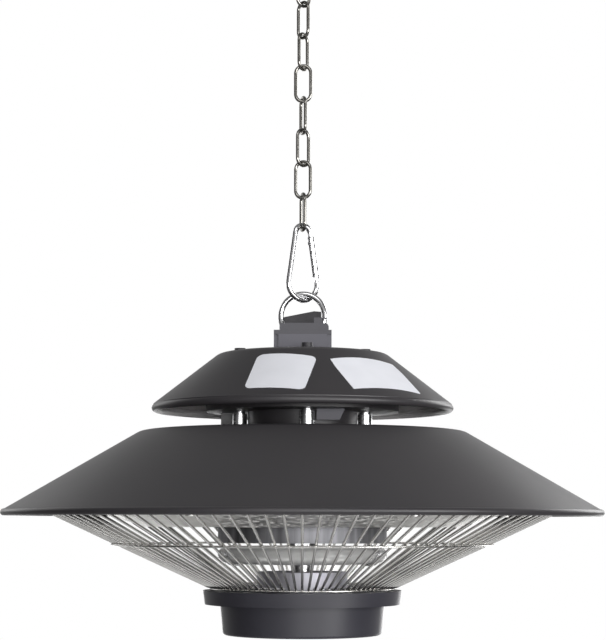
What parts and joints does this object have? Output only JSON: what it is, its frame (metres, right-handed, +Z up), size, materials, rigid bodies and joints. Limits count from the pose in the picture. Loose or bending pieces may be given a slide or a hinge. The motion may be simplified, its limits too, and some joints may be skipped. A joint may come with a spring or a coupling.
{
  "type": "hanging patio heater",
  "caption": "Round electric patio heater with two stacked hoods, a ring lamp and a wire guard, hung from a ceiling plate on a chain, a spring hook and a ring.",
  "frame": {"origin": "centre of the ceiling plate's top face", "axes": "+Z up along the chain at rest, -Y towards the person in front of the heater, +X to the right as seen from there"},
  "size_m": [0.4249, 0.425, 0.5092],
  "materials": {
    "black_coat": "satin black powder coat",
    "grey_coat": "satin grey coat",
    "dark_coat": "satin dark coat",
    "zinc_steel": "bright zinc plate",
    "bright_steel": "polished steel",
    "hammered_aluminium": "hammered bright aluminium",
    "polished_aluminium": "polished aluminium",
    "plated_wire": "bright plated wire",
    "quartz": "clear quartz tube",
    "filament": "dark tungsten",
    "ceramic": "matt white ceramic",
    "insulation": "heat-proof sleeving",
    "rubber": "matt black rubber",
    "label_white": "blank white film"
  },
  "bodies": {
    "ceiling": {"ceiling_plate": "zinc_steel", "ceiling_hook": "zinc_steel"},
    "link_1": {"chain_link_1": "zinc_steel"},
    "link_2": {"chain_link_2": "zinc_steel"},
    "link_3": {"chain_link_3": "zinc_steel"},
    "link_4": {"chain_link_4": "zinc_steel"},
    "link_5": {"chain_link_5": "zinc_steel"},
    "link_6": {"chain_link_6": "zinc_steel"},
    "link_7": {"chain_link_7": "zinc_steel"},
    "link_8": {"chain_link_8": "zinc_steel"},
    "carabiner": {"carabiner_frame": "bright_steel", "gate_pin": "bright_steel"},
    "gate": {"carabiner_gate": "bright_steel", "gate_spring": "zinc_steel"},
    "ring": {"hanging_ring": "bright_steel"},
    "heater": {"bottom_cup": "black_coat", "box_lid": "grey_coat", "bracket_screws": "zinc_steel", "cable_outlet": "dark_coat", "centre_nuts": "zinc_steel", "centre_tube": "zinc_steel", "control_pan": "black_coat", "cord_gland": "rubber", "cup_screws": "zinc_steel", "cutout_cover": "grey_coat", "filament_supports": "filament", "flange_ring": "black_coat", "guard_base_ring": "plated_wire", "guard_clips": "zinc_steel", "guard_mid_ring": "plated_wire", "guard_outer_ring": "plated_wire", "guard_wires": "plated_wire", "label_left": "label_white", "label_right": "label_white", "lamp_caps": "ceramic", "lamp_clips": "zinc_steel", "lamp_filament": "filament", "lamp_hub": "polished_aluminium", "lamp_leads": "insulation", "lamp_tube": "quartz", "lead_duct": "black_coat", "lid_screws": "zinc_steel", "main_hood": "black_coat", "reflector": "hammered_aluminium", "reflector_drum": "polished_aluminium", "reflector_rivets": "hammered_aluminium", "ring_bracket": "zinc_steel", "shield_plate": "zinc_steel", "small_nuts": "zinc_steel", "spacer_tubes": "zinc_steel", "standoffs": "zinc_steel", "supply_leads": "insulation", "terminal_block": "ceramic", "terminal_box": "grey_coat", "thermal_cutout": "ceramic", "tie_bolts": "dark_coat", "tie_washers": "dark_coat", "upper_hood": "black_coat", "wiring_column": "black_coat"}
  },
  "joints": [
    {"name": "link_1_swing", "type": "hinge", "parent": "ceiling", "child": "link_1", "pos_m": [0, 0, -0.031], "axis": [0.6428, -0.766, 0], "range_deg": [-45, 45]},
    {"name": "link_2_swing", "type": "hinge", "parent": "link_1", "child": "link_2", "pos_m": [0, 0, -0.05355], "axis": [0.766, 0.6428, 0], "range_deg": [-45, 45]},
    {"name": "link_3_swing", "type": "hinge", "parent": "link_2", "child": "link_3", "pos_m": [0, 0, -0.07735], "axis": [0.6428, -0.766, 0], "range_deg": [-45, 45]},
    {"name": "link_4_swing", "type": "hinge", "parent": "link_3", "child": "link_4", "pos_m": [0, 0, -0.10115], "axis": [-0.5446, -0.8387, 0], "range_deg": [-45, 45]},
    {"name": "link_5_swing", "type": "hinge", "parent": "link_4", "child": "link_5", "pos_m": [0, 0, -0.12495], "axis": [0.9903, -0.1392, 0], "range_deg": [-45, 45]},
    {"name": "link_6_swing", "type": "hinge", "parent": "link_5", "child": "link_6", "pos_m": [0, 0, -0.14875], "axis": [0.2924, -0.9563, 0], "range_deg": [-45, 45]},
    {"name": "link_7_swing", "type": "hinge", "parent": "link_6", "child": "link_7", "pos_m": [0, 0, -0.17255], "axis": [-0.7193, -0.6947, 0], "range_deg": [-45, 45]},
    {"name": "link_8_swing", "type": "hinge", "parent": "link_7", "child": "link_8", "pos_m": [0, 0, -0.19635], "axis": [-0.9613, 0.2756, 0], "range_deg": [-45, 45]},
    {"name": "carabiner_swing", "type": "hinge", "parent": "link_8", "child": "carabiner", "pos_m": [0, 0, -0.22015], "axis": [0.2419, -0.9703, 0], "range_deg": [-45, 45]},
    {"name": "ring_swing", "type": "hinge", "parent": "carabiner", "child": "ring", "pos_m": [0, 0, -0.2711], "axis": [-0.8387, -0.5446, 0], "range_deg": [-20, 20]},
    {"name": "heater_swing", "type": "hinge", "parent": "ring", "child": "heater", "pos_m": [0, 0, -0.2988], "axis": [-0.9903, 0.1392, 0], "range_deg": [-19, 19]},
    {"name": "gate_hinge", "type": "hinge", "parent": "carabiner", "child": "gate", "pos_m": [0.0061, 0.00396, -0.22741], "axis": [-0.5446, 0.8387, 0], "range_deg": [0, 35], "stiffness_Nm_per_rad": 0.05, "springref_deg": -11.46}
  ]
}
